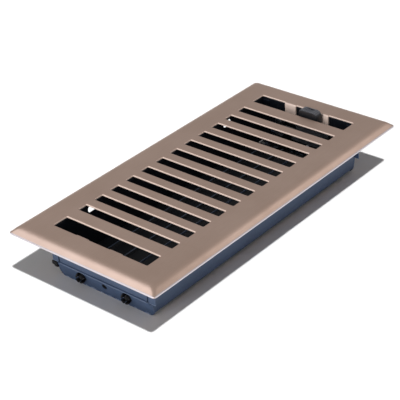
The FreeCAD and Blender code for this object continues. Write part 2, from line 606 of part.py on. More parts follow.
def make_bush(label, turn, side):
    """Split plastic bush: collar inside the end wall, barrel through it, barbed prongs outside."""
    body = new_body(label, y=side + AXIS_Y, z="axis_height", turn=turn)
    section = new_sketch(body, "XY")
    face = "(" + LIP_IN + " - bush_bore_gap)"
    bore = "(pin_radius + bush_play)"
    outline(section, [(face + " - bush_collar_thick", bore), (face + " - bush_collar_thick", "bush_collar"),
                      (face, "bush_collar"), (face, "bush_barrel"), (BARB_START, "bush_barrel"),
                      (BARB_START, "bush_barb"), (BUSH_TIP, "bush_tip"), (BUSH_TIP, bore)])
    revolve(body, section)
    for plane in ("XY", "XZ"):
        cut = new_sketch(body, plane)
        box_outline(cut, PANEL_AT_AXIS, BUSH_TIP + " + 1", "-bush_cut / 2", "bush_cut / 2")
        feature(body, "Pocket", cut, "3 * bush_barb", both=True)
    return body


def make_rivets(label, side):
    """The four rivets that hold cap and crank to one blade."""
    body = new_body(label, y=side + AXIS_Y, z="axis_height")
    body.AllowCompound = True
    stack = (("rivet_radius", "cap_height", "-cap_height / 2"),
             ("rivet_head", "rivet_head_height", "cap_height / 2"),
             ("rivet_head", "rivet_head_height", "-cap_height / 2 - rivet_head_height"))
    for radius, length, height in stack:
        spots = new_sketch(body, "XY", height)
        for end in ("", "-"):
            for row in ("", "-"):
                circle(spots, end + RIVET_X, row + "rivet_spacing / 2", radius)
        feature(body, "Pad", spots, length)
    return body


def make_slide():
    """Flat control slide: bar with two forks and two guide slots, and the stem of the knob."""
    body = new_body("control_slide", y="-" + TRAVEL + " / 2")
    plate = new_sketch(body, "YZ", SLIDE_IN)
    bar_top, fork_top = "(slide_foot + slide_height)", "(axis_height + crank_radius + crank_pin + fork_head)"
    half_width = "(%s + %s / 2 + stud_radius + stud_play + slide_end)" % (STUD_Y, TRAVEL)
    inner, outer = "(%s - crank_pin - fork_play)" % AXIS_Y, "(%s + crank_pin + fork_play)" % AXIS_Y
    right = [(inner, "slide_foot"), (inner, fork_top), (outer, fork_top), (outer, "slide_foot"),
             (half_width, "slide_foot"), (half_width, bar_top), ("(stem_width / 2)", bar_top),
             ("(stem_width / 2)", STEM_TOP)]
    outline(plate, right + [("-" + y, z) for y, z in reversed(right)])
    feature(body, "Pad", plate, "slide_sheet")
    edge, top, fork = (value(text) for text in (half_width, bar_top, fork_top))
    dress(body, "Fillet", lambda e: along(e, "x") and near(abs(e.BoundBox.Center.y), edge), "slide_corner")
    dress(body, "Fillet", lambda e: along(e, "x") and near(e.BoundBox.ZMin, fork), "slide_corner / 2")
    dress(body, "Fillet", lambda e: along(e, "x") and near(e.BoundBox.ZMin, top), "slide_corner / 2")
    slots = new_sketch(body, "YZ", SLIDE_IN)
    for side in ("", "-"):
        obround(slots, side + STUD_Y, "stud_height", TRAVEL + " / 2", "(stud_radius + stud_play)")
    feature(body, "Pocket", slots, "4 * slide_sheet", both=True)
    return body


def make_knob():
    """Thumb knob with round ends and a dished top, pushed onto the slide's stem."""
    body = new_body("knob", x=SLIDE_IN + " + slide_sheet / 2", y="-" + TRAVEL + " / 2")
    foot, crest = "(" + TOP + " - knob_skirt)", "(" + TOP + " + knob_proud)"
    side, shoulder = "(knob_width / 2)", "(" + crest + " - knob_end)"
    bend = "(knob_width / 2 - knob_end)"
    section = new_sketch(body, "YZ")
    outline(section, [("-" + side, foot), (side, foot), (side, shoulder), (bend, crest),
                      ("-" + bend, crest), ("-" + side, shoulder)],
            {2: (bend, shoulder, 1), 4: ("-" + bend, shoulder, 1)})
    feature(body, "Pad", section, "knob_depth", both=True)
    low, high = value(foot), value(crest)
    dress(body, "Fillet", lambda e: not along(e, "x") and e.BoundBox.ZMax > low + 1, "knob_round")
    dish = new_sketch(body, "YZ")
    circle(dish, "0", crest + " + knob_dish - knob_dish_depth", "knob_dish")
    feature(body, "Pocket", dish, "knob_depth - 2 * knob_rim", both=True)
    reach = value("knob_depth / 2 - knob_rim")
    dress(body, "Fillet", lambda e: near(e.BoundBox.ZMax, high) and abs(e.BoundBox.Center.x) < reach + 0.01
          and e.BoundBox.YLength > 0.1 or near(e.BoundBox.ZMin, high) and abs(e.BoundBox.Center.x) < 0.01
          and near(e.BoundBox.XLength, 2 * reach), "knob_soft")
    socket = new_sketch(body, "XY", foot)
    box_outline(socket, "-slide_sheet / 2 - cap_fit", "slide_sheet / 2 + cap_fit",
                "-stem_width / 2 - cap_fit", "stem_width / 2 + cap_fit")
    feature(body, "Pocket", socket, STEM_TOP + " - " + foot + " + cap_fit", back=True)
    return body


def turned(label, side, points):
    """Piece turned about a guide stud's axis from a profile of x and radius."""
    body = new_body(label, y=side + STUD_Y, z="stud_height")
    section = new_sketch(body, "XY")
    outline(section, points)
    revolve(body, section)
    return body


def make_stud(label, side):
    """Shouldered stud, riveted into the end wall."""
    seat = "(" + SLIDE_OUT + " + spring_free)"
    tip = "(" + SLIDE_IN + " - stud_neck)"
    head = "(" + END_OUT + " + stud_head_height)"
    return turned(label, side, [
        (tip, "0"), (tip, "stud_radius"), (seat, "stud_radius"), (seat, "stud_shoulder"),
        (END_IN, "stud_shoulder"), (END_IN, "stud_shank"), (END_OUT, "stud_shank"), (END_OUT, "stud_head"),
        (head, "stud_head * 0.6"), (head, "0")])


def make_spring(label, side):
    """Dished spring washer between a stud's shoulder and the slide."""
    low, high = "(%s + spring_play)" % SLIDE_OUT, "(%s + spring_free - spring_play)" % SLIDE_OUT
    bore = "(stud_radius + spring_bore)"
    return turned(label, side, [
        (low, bore), (low + " + spring_sheet", bore), (high, "stud_head"),
        (high + " - spring_sheet", "stud_head")])


def make_stud_cap(label, side):
    """Push-on cap that keeps the slide on its stud."""
    face = "(" + SLIDE_IN + " - cap_fit * 2)"
    bore = "(stud_radius + rivet_play)"
    back = "(" + face + " - stud_cap_thick)"
    return turned(label, side, [
        (back, bore), (back, "(stud_cap - stud_cap_thick / 2)"),
        ("(%s + stud_cap_thick / 2)" % back, "stud_cap"), (face, "stud_cap"), (face, bore)])


def build():
    """Make every piece and return the bodies by label."""
    make_faceplate()
    make_slide()
    make_knob()
    for end, turn in (("far", 0), ("near", 180)):
        make_end_wall("end_wall_" + end, turn)
        make_grip("duct_grip_" + end, turn, "" if end == "far" else "-")
    make_side_wall("side_wall_left", 0, True)
    make_side_wall("side_wall_right", 180, False)
    for hand, side in (("left", ""), ("right", "-")):
        make_blade("blade_" + hand, side)
        make_rivets("blade_rivets_" + hand, side)
        make_cap("blade_cap_" + hand, 180, side, False)
        make_cap("crank_" + hand, 0, side, True)
        make_stud("slide_stud_" + hand, side)
        make_spring("slide_spring_" + hand, side)
        make_stud_cap("stud_cap_" + hand, side)
        for end, turn in (("far", 0), ("near", 180)):
            make_pin("pivot_pin_%s_%s" % (end, hand), turn, side)
            make_bush("pivot_bush_%s_%s" % (end, hand), turn, side)
    doc.recompute()
    return {item.Label: item for item in doc.Objects if item.TypeId == "PartDesign::Body"}


def check(bodies):
    """Stop if any object or shape is not sound."""
    for item in doc.Objects:
        faults = [word for word in ("Invalid", "Error") if word in item.State]
        assert not faults, (item.Name, item.State)
    for label, body in bodies.items():
        assert not body.Shape.isNull() and body.Shape.isValid(), label


if __name__ == "__main__":
    os.makedirs("parts", exist_ok=True)
    pieces = build()
    check(pieces)
    for label, body in pieces.items():
        body.Shape.exportStep("parts/%s.step" % label)
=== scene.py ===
"""Fine forms, finishes, floor, lights and camera of the floor register, laid out as a Blender add-on."""
import math

import bmesh
import bpy
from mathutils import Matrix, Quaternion, Vector


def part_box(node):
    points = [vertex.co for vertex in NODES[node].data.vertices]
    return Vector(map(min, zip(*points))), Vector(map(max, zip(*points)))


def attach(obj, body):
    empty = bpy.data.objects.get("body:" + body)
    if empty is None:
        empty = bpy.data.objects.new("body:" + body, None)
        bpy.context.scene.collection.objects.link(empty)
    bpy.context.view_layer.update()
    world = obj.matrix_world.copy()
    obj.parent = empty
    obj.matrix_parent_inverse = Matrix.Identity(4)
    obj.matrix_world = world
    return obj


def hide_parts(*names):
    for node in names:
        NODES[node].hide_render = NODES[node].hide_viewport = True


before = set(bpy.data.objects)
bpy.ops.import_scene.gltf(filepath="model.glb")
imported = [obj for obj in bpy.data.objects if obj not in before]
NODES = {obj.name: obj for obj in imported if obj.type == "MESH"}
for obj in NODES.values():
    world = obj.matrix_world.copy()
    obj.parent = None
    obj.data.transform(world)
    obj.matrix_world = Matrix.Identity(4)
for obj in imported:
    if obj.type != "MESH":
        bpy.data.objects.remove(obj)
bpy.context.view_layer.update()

bl_info = {
    "name": "Floor Register",
    "version": (1, 0, 0),
    "blender": (4, 5, 0),
    "location": "3D View > Sidebar > Register",
    "description": "Makes the fine forms and finishes of a floor register, and sets its studio",
    "category": "Object",
}

MM = 0.001
EDGE = 1.0 * MM

# The faceplate's stamping: its box in the frame, and the driving dimensions of its shape; BEVEL is in degrees
PLATE_LOW, PLATE_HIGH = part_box("faceplate")
PLATE_X = PLATE_HIGH.x
PLATE_Y = PLATE_HIGH.y
FIELD = PLATE_HIGH.z
SHEET = 1.2 * MM
RISE = 4.3 * MM
LIP_TOP = FIELD - RISE
LIP_WIDTH = 0.3 * MM
LIP_ROUNDING = 0.35 * MM
ROOT = 0.5 * MM
BEVEL = 44.0
CORNER_GROWTH = 0.2
FLAT = 1.0 * MM
NARROW_SLOTS = 12
SLOT_PITCH = 17.12 * MM
SLOT_HALF_X = 4.25 * MM
SLOT_HALF_Y = 46.0 * MM
SLOT_CORNER = 0.6 * MM
SLOT_LAND = 0.3 * MM
SLOT_UNDER = 0.4 * MM
WIDE_INNER = 110.3 * MM
WIDE_OUTER = 124.3 * MM
TAB_MIDDLE = 16.5 * MM
TAB_HALF = 5.5 * MM
TAB_BEND = 0.6 * MM
TAB_FOOT = 2.4 * MM
TAB_SINK = 0.01 * MM

# The hinge axes, and the split bushes on them: places along an axis and radii about it in mm, and degrees
HINGE_Y = 22.6 * MM
HINGE_Z = 7.7 * MM
BUSH_BARREL = [(120.1, 2.1), (120.1, 5.2), (120.3, 5.4), (121.3, 5.4), (121.5, 5.2), (121.5, 3.9),
               (124.2, 3.9), (124.2, 2.1)]
BUSH_PRONG = [(124.0, 2.2), (124.0, 3.8), (124.9, 3.8), (125.2, 4.3), (125.7, 4.55), (126.5, 4.3),
              (127.5, 3.6), (127.9, 3.1), (127.9, 2.5), (127.6, 2.2)]
PRONG_MIDDLES = (45, 135, 225, 315)

# The duct grips in mm: y and z round a section, places along X with the section's scale there, and the stem
GRIP_SECTION = [(46.3, 12.4), (51.5, 12.4), (52.0, 11.9), (52.0, 10.4), (51.7, 9.6), (51.1, 9.2), (50.2, 9.2),
                (49.7, 9.0), (49.5, 8.4), (49.0, 7.9), (48.0, 7.7), (46.3, 7.9)]
GRIP_ALONG = [(114.9, 0.88), (115.3, 1.0), (125.4, 1.0), (125.9, 0.86)]
GRIP_MIDDLE = Vector((49.0, 10.2))
STEM_X, STEM_Z, STEM_RADIUS = 119.4, 10.3, 1.4
STEM_ENDS = (44.9, 47.1)

# Lines and holes on the painted pieces, and the ribs on the knob
END_BEND = 12.6 * MM
SPARE_HOLE = 2.2 * MM
SPARE_HOLE_Z = 8.0 * MM
BLADE_BEAD = 8.6 * MM
BLADE_HALF = 22.1 * MM
KNOB_RIB = 1.5 * MM

# Where a finish changes: the two numbers between which its mask goes from 0 to 1. All are metres but the
# last, which is how far the surface faces up; INNER_FACE is how far out a surface lies that faces outwards
RIM_RISE = (-0.9 * MM, -0.2 * MM)
SLOTTED_X = (WIDE_OUTER + 5 * MM, WIDE_OUTER + 4 * MM)
SLOTTED_Y = (48 * MM, 47 * MM)
BELOW_FIELD = (FIELD - 0.05 * MM, FIELD - 0.5 * MM)
CUT_FOOT = (FIELD - 1.19 * MM, FIELD - 1.12 * MM)
TABS_X = (110 * MM, 120 * MM)
TABS_Y = (30 * MM, 28 * MM)
INNER_FACE = (0.004, -0.004)
BETWEEN_EARS = (47.5 * MM, 46.5 * MM)
HOLE_RIM = (SPARE_HOLE + 0.16 * MM, SPARE_HOLE + 0.08 * MM)
WORN_FOOT = (3.0 * MM, 0.4 * MM)
BEND_LINE = (0.75 * MM, 0.25 * MM)
BEAD_LINE = (0.9 * MM, 0.3 * MM)
TURNED_EDGE = (BLADE_HALF - 0.8 * MM, BLADE_HALF - 0.3 * MM)
FACING_UP = (0.35, 0.9)

# The dark mouth of the duct on the floor, painted black and standing also for the shade under the box, from
# its low to its high side
MOUTH_X = (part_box("end_wall_near")[1].x, 125.6 * MM)
MOUTH_Y = (-42.0 * MM, 48.6 * MM)

# Colours that a finish mixes into its own
# Painted highlight: a pale colour on the lip's outer edge that stands for the pale floor's reflection in it
RIM_HIGHLIGHT_COLOUR = (0.70, 0.67, 0.72)
# Painted highlight: a pale, warm colour on the bent tabs and the slots' cut walls that stands for light
# falling on them from the front
TAB_HIGHLIGHT_COLOUR = (0.96, 0.76, 0.66)
SPECK_COLOUR = (0.24, 0.18, 0.15)
PAINT_DUST = (0.22, 0.27, 0.36)
# Paler paint for the worn foot, and also a painted highlight along the end walls' bend and the blades' beads
# and edges
WORN_AND_HIGHLIT_PAINT = (0.28, 0.35, 0.50)
# Painted shade for the faces inside the box and the spare hole's rim
UNLIT_PAINT = (0.010, 0.012, 0.018)
NYLON_DUST = (0.30, 0.30, 0.31)
MOUTH_AND_SHADE_COLOUR = (0.01, 0.01, 0.01)

# Shares of a colour: the side walls' paint of the end walls', a painted shade that darkens the side walls,
# and the floor's fibres of the floor's
SHADED_SIDE_COLOUR_SHARE = 0.7
SHADED_SIDE_SHADE_SHARE = 0.8
FIBRE_SHARE = 0.985

# Grain of brushed, turned and drawn metal: noise cells per metre along X, Y and Z
BRUSHED = (90.0, 2600.0, 2600.0)
TURNED = (8000.0, 160.0, 160.0)
DRAWN = (300.0, 5200.0, 300.0)

# The floor's half width, and the distant light that draws the shadow: its direction and spread in degrees
FLOOR_HALF = 8.0
FLOOR_LIGHT_FROM = (-0.21, -0.36, 1.0)
FLOOR_LIGHT_SPREAD = 2.6


class Wire:
    """A socket of a node; Python's operators on it add Math nodes."""

    def __init__(self, shading, socket):
        self.shading = shading
        self.socket = socket

    def join(self, operation, *values):
        return self.shading.add("ShaderNodeMath", {"operation": operation}, dict(enumerate(values)))

    def __add__(self, other):
        return self.join("ADD", self, other)

    def __radd__(self, other):
        return self.join("ADD", other, self)

    def __sub__(self, other):
        return self.join("SUBTRACT", self, other)

    def __rsub__(self, other):
        return self.join("SUBTRACT", other, self)

    def __mul__(self, other):
        return self.join("MULTIPLY", self, other)

    def __rmul__(self, other):
        return self.join("MULTIPLY", other, self)

    def __pow__(self, other):
        return self.join("POWER", self, other)

    def __rpow__(self, other):
        return self.join("POWER", other, self)

    def __abs__(self):
        return self.join("ABSOLUTE", self)

    def sine(self):
        return self.join("SINE", self)

    def larger(self, other):
        return self.join("MAXIMUM", self, other)

    def step(self, low, high):
        """Smooth mask that is 0 below low and 1 above high; the other way round if low is above high."""
        return self.shading.add("ShaderNodeMapRange", {"interpolation_type": "SMOOTHSTEP"},
                                {"Value": self, "From Min": low, "From Max": high})

    def between(self, low, high):
        """Mask that is 1 between two places and fades to 0 over a soft edge inside them."""
        half = (high - low) / 2
        return abs(self - (low + high) / 2).step(half, half - EDGE)


class Shading:
    """The nodes of a material or of the world."""

    def __init__(self, owner):
        owner.use_nodes = True
        self.nodes = owner.node_tree.nodes
        self.links = owner.node_tree.links
        self.nodes.clear()

    def add(self, kind, settings=None, inputs=None, output=0):
        """Node of a kind: its settings first, then the values or wires of its sockets."""
        node = self.nodes.new(kind)
        for key, setting in (settings or {}).items():
            setattr(node, key, setting)
        for key, given in (inputs or {}).items():
            if isinstance(given, Wire):
                self.links.new(given.socket, node.inputs[key])
            else:
                node.inputs[key].default_value = given
        return Wire(self, node.outputs[output]) if node.outputs else None


class Finish(Shading):
    """A material, written as expressions on wires."""

    def __init__(self, name):
        self.material = bpy.data.materials.new(name)
        super().__init__(self.material)

    def place(self):
        """Place in the row frame, in metres."""
        return self.add("ShaderNodeTexCoord", output="Object")

    def facing(self):
        """The way the surface faces, as three numbers."""
        return self.axes(self.add("ShaderNodeTexCoord", output="Normal"))

    def axes(self, vector):
        """The three numbers of a vector."""
        node = self.add("ShaderNodeSeparateXYZ", inputs={0: vector}).socket.node
        return [Wire(self, socket) for socket in node.outputs]

    def stretch(self, vector, scale):
        """A vector multiplied axis by axis."""
        return self.add("ShaderNodeVectorMath", {"operation": "MULTIPLY"}, {0: vector, 1: scale})

    def noise(self, vector, scale, detail=3.0, roughness=0.6):
        """Soft noise about 0.5, with scale cells per metre."""
        return self.add("ShaderNodeTexNoise", inputs={
            "Vector": vector, "Scale": scale, "Detail": detail, "Roughness": roughness})

    def cells(self, vector, scale):
        """Distance to the middle of the nearest of scale cells per metre."""
        return self.add("ShaderNodeTexVoronoi", inputs={"Vector": vector, "Scale": scale})

    def blend(self, mask, first, second):
        """Colour that goes from first to second as the mask goes from 0 to 1."""
        first, second = ((*c, 1.0) if isinstance(c, tuple) else c for c in (first, second))
        return self.add("ShaderNodeMix", {"data_type": "RGBA"}, {0: mask, 6: first, 7: second}, output=2)

    def bump(self, height, strength, depth):
        """Normal from a height between 0 and 1 that stands for a depth in metres."""
        return self.add("ShaderNodeBump", inputs={
            "Height": height, "Strength": strength, "Distance": depth})

    def surface(self, **sockets):
        """Close the material with a Principled shader; names use _ for a space."""
        shader = self.add("ShaderNodeBsdfPrincipled", inputs={
            key.replace("_", " "): given for key, given in sockets.items()})
        self.add("ShaderNodeOutputMaterial", inputs={"Surface": shader})
        return self.material


def dimmed(colour, share):
    """A share of a colour."""
    return tuple(share * part for part in colour)


def satin_nickel(colour, shade, roughness):
    """Warm satin nickel on steel: fine grain, faint brushing, painted highlights on the rim, the tabs and the
    slots' cut walls, handled patches.
    """
    finish = Finish("satin_nickel")
    place = finish.place()
    x, y, z = finish.axes(place)
    grain = finish.noise(place, 5200.0, detail=4.0)
    brush = finish.noise(finish.stretch(place, BRUSHED), 1.0, roughness=0.55)
    cloud = finish.noise(place, 26.0, roughness=0.5)
    smudge = finish.noise(place, 75.0, detail=4.0, roughness=0.65)
    specks = finish.cells(place, 900.0)
    # Painted highlight along the lip's outer edge, which is also made less metallic
    rim_highlight = (abs(x) - PLATE_X).larger(abs(y) - PLATE_Y).step(*RIM_RISE)
    slotted = abs(x).step(*SLOTTED_X) * abs(y).step(*SLOTTED_Y)
    below = z.step(*BELOW_FIELD)
    cut = below * z.step(*CUT_FOOT)
    # Painted highlight on the tabs and on the slots' cut walls, which are also made less metallic and rougher
    tab_highlight = slotted * cut.larger(below * abs(y).step(*TABS_Y) * abs(x).step(*TABS_X))
    tone = (cloud * 0.55 + grain * 0.25 + brush * 0.3).step(0.25, 0.85)
    base = finish.blend(tone, shade, colour)
    base = finish.blend(rim_highlight * 0.8, base, RIM_HIGHLIGHT_COLOUR)
    base = finish.blend(tab_highlight * 0.95, base, TAB_HIGHLIGHT_COLOUR)
    base = finish.blend(specks.step(0.07, 0.03) * 0.2, base, SPECK_COLOUR)
    rough = roughness + (smudge - 0.5) * 0.16 + (grain - 0.5) * 0.10 + tab_highlight * 0.15
    height = grain * 0.5 + brush * 0.35 + specks.step(0.12, 0.0) * 0.2
    return finish.surface(Base_Color=base, Metallic=0.86 - tab_highlight * 0.74 - rim_highlight * 0.2, Roughness=rough,
                          Normal=finish.bump(height, 0.25, 0.04 * MM))


def end_wall_bend_highlight(y, z):
    """Mask of the painted highlight along the bend across an end wall, above its sloped panel."""
    return abs(z - END_BEND).step(*BEND_LINE)


def blade_bead_highlight(y, z):
    """Mask of the painted highlights on a blade's two beads and its turned edges."""
    from_axis = abs(abs(y) - HINGE_Y)
    return abs(from_axis - BLADE_BEAD).step(*BEAD_LINE).larger(from_axis.step(*TURNED_EDGE)) * 0.8


def spare_hole_shade(y, z):
    """Mask of the painted shade on the rim of an end wall's spare hole."""
    up = z - SPARE_HOLE_Z
    return ((y * y + up * up) ** 0.5).step(*HOLE_RIM)


def slate_paint(name, colour, shade, roughness, ridge_highlight=None, hole=None):
    """Baked slate-blue paint: orange peel, dust, worn foot, painted highlights along ridges, and painted
    shade inside and in holes.
    """
    finish = Finish(name)
    place = finish.place()
    x, y, z = finish.axes(place)
    facing = finish.facing()
    peel = finish.noise(place, 1400.0, detail=2.0, roughness=0.4)
    fine = finish.noise(place, 6000.0, detail=2.0)
    cloud = finish.noise(place, 38.0, detail=4.0)
    dust = finish.noise(place, 420.0, detail=5.0, roughness=0.7)
    chips = finish.noise(place, 240.0, detail=5.0, roughness=0.75)
    base = finish.blend((cloud * 0.7 + peel * 0.3).step(0.3, 0.7), shade, colour)
    base = finish.blend(dust.step(0.56, 0.74) * 0.15, base, PAINT_DUST)
    # Painted shade: faces inside the box, and the spare hole's rim, are darkened to the unlit colour
    unlit = (x * facing[0] + y * facing[1]).step(*INNER_FACE) * abs(y).step(*BETWEEN_EARS)
    if hole:
        unlit = unlit.larger(hole(y, z))
    base = finish.blend(unlit * 0.96, base, UNLIT_PAINT)
    wear_and_highlight = (chips * (0.35 + z.step(*WORN_FOOT))).step(0.62, 0.72)
    # Painted highlight: the ridge masks lighten the paint in the same way as the real wear
    if ridge_highlight:
        wear_and_highlight = wear_and_highlight.larger(ridge_highlight(y, z) * (0.6 + dust * 0.3))
    base = finish.blend(wear_and_highlight, base, WORN_AND_HIGHLIT_PAINT)
    rough = roughness + (dust - 0.5) * 0.30 + (cloud - 0.5) * 0.12 - wear_and_highlight * 0.12
    height = peel * 0.8 + fine * 0.15 - wear_and_highlight * 0.5
    return finish.surface(Base_Color=base, Metallic=wear_and_highlight * 0.3, Roughness=rough, Specular_IOR_Level=0.35,
                          Normal=finish.bump(height, 0.35, 0.06 * MM))


def moulded_plastic(name, colour, worn, roughness, sparkle, gloss, top=None):
    """Moulded nylon: spark-eroded texture, cloudy tone, a little dust and, where told, a ribbed top with a
    painted highlight on the faces that look up.
    """
    finish = Finish(name)
    place = finish.place()
    texture = finish.noise(place, 3800.0)
    cloud = finish.noise(place, 180.0, roughness=0.5)
    dust = finish.noise(place, 1100.0, detail=4.0, roughness=0.7)
    base = finish.blend(cloud.step(0.35, 0.7) * 0.5 + texture * 0.2, colour, worn)
    base = finish.blend(dust.step(0.62, 0.78) * sparkle, base, NYLON_DUST)
    height = texture * 0.7 + cloud * 0.3
    if top:
        # Painted highlight: faces that look up get the paler top colour, striped by the ribs
        upward = finish.facing()[2].step(*FACING_UP)
        ribs = (finish.axes(place)[1] * (math.tau / KNOB_RIB)).sine()
        base = finish.blend(upward * (0.75 + ribs * 0.25), base, top)
        height = height + upward * ribs
    rough = roughness + (texture - 0.5) * 0.2 + (cloud - 0.5) * 0.12
    return finish.surface(Base_Color=base, Roughness=rough, Specular_IOR_Level=gloss,
                          Normal=finish.bump(height, 0.3, 0.05 * MM))


def plain_steel(name, colour, shade, roughness, grain=DRAWN):
    """Bare, turned or zinc plated steel: drawn or turned lines, spangle and grey haze."""
    finish = Finish(name)
    place = finish.place()
    lines = finish.noise(finish.stretch(place, grain), 1.0)
    haze = finish.noise(place, 140.0, detail=4.0)
    spangle = finish.cells(place, 620.0)
    tone = (lines * 0.5 + haze * 0.4 + spangle * 0.2).step(0.25, 0.85)
    rough = roughness + (haze - 0.5) * 0.22 + (lines - 0.5) * 0.12
    return finish.surface(Base_Color=finish.blend(tone, shade, colour), Metallic=0.95, Roughness=rough,
                          Normal=finish.bump(lines * 0.6 + spangle * 0.2, 0.3, 0.03 * MM))


def floor_finish(colour):
    """Pale floor, white where nothing shades it, with the dark mouth of a duct inside the box's foot, painted
    black, which also stands for painted shade under the box's walls.
    """
    finish = Finish("studio_floor")
    place = finish.place()
    x, y = finish.axes(place)[:2]
    fibre = finish.noise(place, 300.0)
    base = finish.blend(fibre, dimmed(colour, FIBRE_SHARE), colour)
    # Painted shade: the black duct mouth also darkens the floor just outside the far end wall and the left
    # side wall
    base = finish.blend(x.between(*MOUTH_X) * y.between(*MOUTH_Y), base, MOUTH_AND_SHADE_COLOUR)
    return finish.surface(Base_Color=base, Roughness=0.9)


def give(material, *names):
    """Put one finish on CAD nodes."""
    for name in names:
        mesh = NODES[name].data
        mesh.materials.clear()
        mesh.materials.append(material)


def both(*names):
    """Each name for the left and for the right side."""
    return [name % hand for name in names for hand in ("left", "right")]


class Form:
    """Closed skin, built from rings of points in the row frame."""

    def __init__(self):
        self.mesh = bmesh.new()

    def bridge(self, first, second):
        """Faces between two rings of the same number of points."""
        for a, b, c, d in zip(first, first[1:] + first[:1], second, second[1:] + second[:1]):
            self.mesh.faces.new((a, b, d, c))

    def sleeve(self, sections, closed=False):
        """Rings bridged one after the other, and the last one to the first if closed."""
        rings = [[self.mesh.verts.new(point) for point in section] for section in sections]
        for first, second in zip(rings, rings[1:] + rings[:1] * closed):
            self.bridge(first, second)
        return rings

    def solid(self, sections):
        """Sleeve with a face on its first and on its last ring."""
        rings = self.sleeve(sections)
        for ring in (rings[0], rings[-1]):
            self.mesh.faces.new(ring)

    def fill(self, rings):
        """Flat face with holes between rings that lie in one plane."""
        edges = [self.mesh.edges.get(pair) for ring in rings for pair in zip(ring, ring[1:] + ring[:1])]
        bmesh.ops.triangle_fill(self.mesh, use_beauty=True, edges=edges, normal=(0, 0, 1))

    def piece(self, name, material, crease=35.0):
        """Object with smooth shading up to an angle in degrees."""
        bmesh.ops.recalc_face_normals(self.mesh, faces=self.mesh.faces[:])
        mesh = bpy.data.meshes.new(name)
        self.mesh.to_mesh(mesh)
        self.mesh.free()
        mesh.shade_smooth()
        mesh.set_sharp_from_angle(angle=math.radians(crease))
        mesh.materials.append(material)
        item = bpy.data.objects.new(name, mesh)
        bpy.context.scene.collection.objects.link(item)
        return item


def turn(start, end, steps):
    """Angles in radians from start to end degrees."""
    return [math.radians(start + (end - start) * step / steps) for step in range(steps + 1)]


def arc(x, z, radius, start, end, steps, right=-1, up=-1):
    """Points of a bend that is level at x, z and turns by angles in degrees from there."""
    return [(x + right * radius * math.sin(angle), z + up * radius * (1 - math.cos(angle)))
            for angle in turn(start, end, steps)]


def rounded(half_x, half_y, radius, z, x=0.0, steps=6):
    """Rectangle with round corners about x on the X axis, anticlockwise from above."""
    points = []
    for quarter, (right, up) in enumerate(((1, 1), (-1, 1), (-1, -1), (1, -1))):
        for angle in turn(90 * quarter, 90 * (quarter + 1), steps):
            points.append(Vector((x + right * (half_x - radius) + radius * math.cos(angle),
                                  up * (half_y - radius) + radius * math.sin(angle), z)))
    return points


def border_run(crown):
    """Width of the border from the rim to the flat field."""
    slope = math.radians(BEVEL)
    straight = (RISE - (ROOT + crown) * (1 - math.cos(slope))) / math.sin(slope)
    return LIP_WIDTH + (ROOT + crown) * math.sin(slope) + straight * math.cos(slope)


def border_profile(crown):
    """Inset and height of the border's upper side, from the rim's foot to the flat field."""
    run = border_run(crown)
    return [(0.0, LIP_TOP - SHEET), (0.0, LIP_TOP - LIP_ROUNDING),
            *arc(LIP_ROUNDING, LIP_TOP, LIP_ROUNDING, 75, 0, 4),
            *arc(LIP_WIDTH, LIP_TOP, ROOT, 0, BEVEL, 3, right=1, up=1),
            *arc(run, FIELD, crown, BEVEL, 0, 10), (run + FLAT, FIELD)]


def hollow_profile(crown):
    """Inset and height of the border's underside, from the rim's foot to the flat underside."""
    run = border_run(crown)
    return [*arc(LIP_WIDTH, LIP_TOP - SHEET, ROOT + SHEET, 0, BEVEL, 3, right=1, up=1),
            *arc(run, FIELD - SHEET, crown - SHEET, BEVEL, 0, 8), (run + FLAT, FIELD - SHEET)]


def slot_profile(roll):
    """Offset and height of a slot's rolled edge, from the flat field to the flat underside."""
    return [(roll + SLOT_LAND, FIELD), *arc(roll, FIELD, roll, 0, 90, 6), (0.0, FIELD - SHEET),
            (SLOT_UNDER, FIELD - SHEET)]


def tab_profile(end):
    """X and z of a bent tab's section at the far or the near wide slot."""
    top, under, foot = FIELD - TAB_SINK, FIELD - SHEET, PLATE_LOW.z
    root, toe = WIDE_OUTER + TAB_BEND, WIDE_OUTER + TAB_FOOT
    outer, inner = TAB_BEND + SHEET, TAB_BEND
    points = [(root + FLAT, top), *arc(root, top, outer, 0, 90, 6), *arc(root, foot, outer, 90, 0, 6, up=1),
              (toe, foot), (toe, foot + SHEET), *arc(root, foot + SHEET, inner, 0, 90, 4, up=1),
              *arc(root, under, inner, 90, 0, 4), (root + FLAT, under)]
    return [(end * x, z) for x, z in points]


def faceplate_skin(material, sizes):
    """The stamping with soft mitres, round corners and rolled slot edges, in the CAD faceplate's place."""
    form = Form()

    def border(profile):
        return form.sleeve([rounded(PLATE_X - inset, PLATE_Y - inset,
                                    sizes.plan_corner + CORNER_GROWTH * inset, z) for inset, z in profile])

    upper, lower = border(border_profile(sizes.crown)), border(hollow_profile(sizes.crown))
    form.bridge(upper[0], lower[0])
    tops, unders = [upper[-1]], [lower[-1]]
    slots = [((n - (NARROW_SLOTS - 1) / 2) * SLOT_PITCH, SLOT_HALF_X) for n in range(NARROW_SLOTS)]
    slots += [(end * (WIDE_INNER + WIDE_OUTER) / 2, (WIDE_OUTER - WIDE_INNER) / 2) for end in (-1, 1)]
    for x, half in slots:
        rings = form.sleeve([rounded(half + offset, SLOT_HALF_Y + offset, SLOT_CORNER + offset, z, x)
                             for offset, z in slot_profile(sizes.slot_roll)])
        tops.append(rings[0])
        unders.append(rings[-1])
    form.fill(tops)
    form.fill(unders)
    for end in (-1, 1):
        for middle in (-TAB_MIDDLE, TAB_MIDDLE):
            form.solid([[Vector((x, y, z)) for x, z in tab_profile(end)]
                        for y in (middle - TAB_HALF, middle + TAB_HALF)])
    skin = form.piece("faceplate_skin", material)
    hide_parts("faceplate")
    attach(skin, "box")


